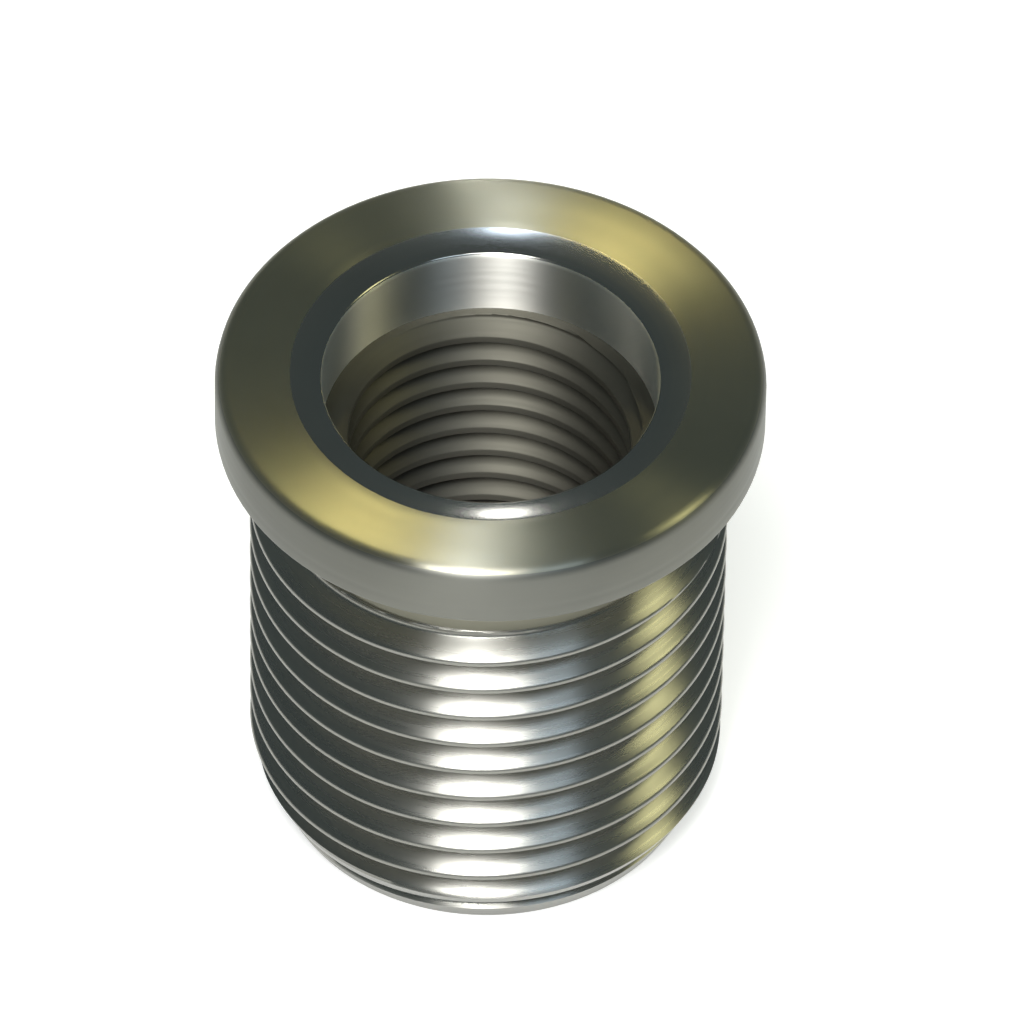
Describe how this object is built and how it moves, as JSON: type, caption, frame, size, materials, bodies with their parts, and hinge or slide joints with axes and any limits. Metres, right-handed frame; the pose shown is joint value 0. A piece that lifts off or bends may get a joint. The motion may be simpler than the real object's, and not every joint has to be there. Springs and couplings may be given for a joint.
{
  "type": "thread insert",
  "caption": "Flanged steel thread insert with an outer thread, a relief under the flange, a dished mouth with a counterbore and a smaller inner thread, to repair a tapped hole.",
  "frame": {"origin": "centre of the foot, on the axis", "axes": "+Z along the axis, from the foot up to the flange"},
  "size_m": [0.0206, 0.0206, 0.0216],
  "materials": {
    "turned_steel": "bright turned steel with fine ring marks"
  },
  "bodies": {
    "root": {"thread_insert": "turned_steel"}
  },
  "joints": []
}
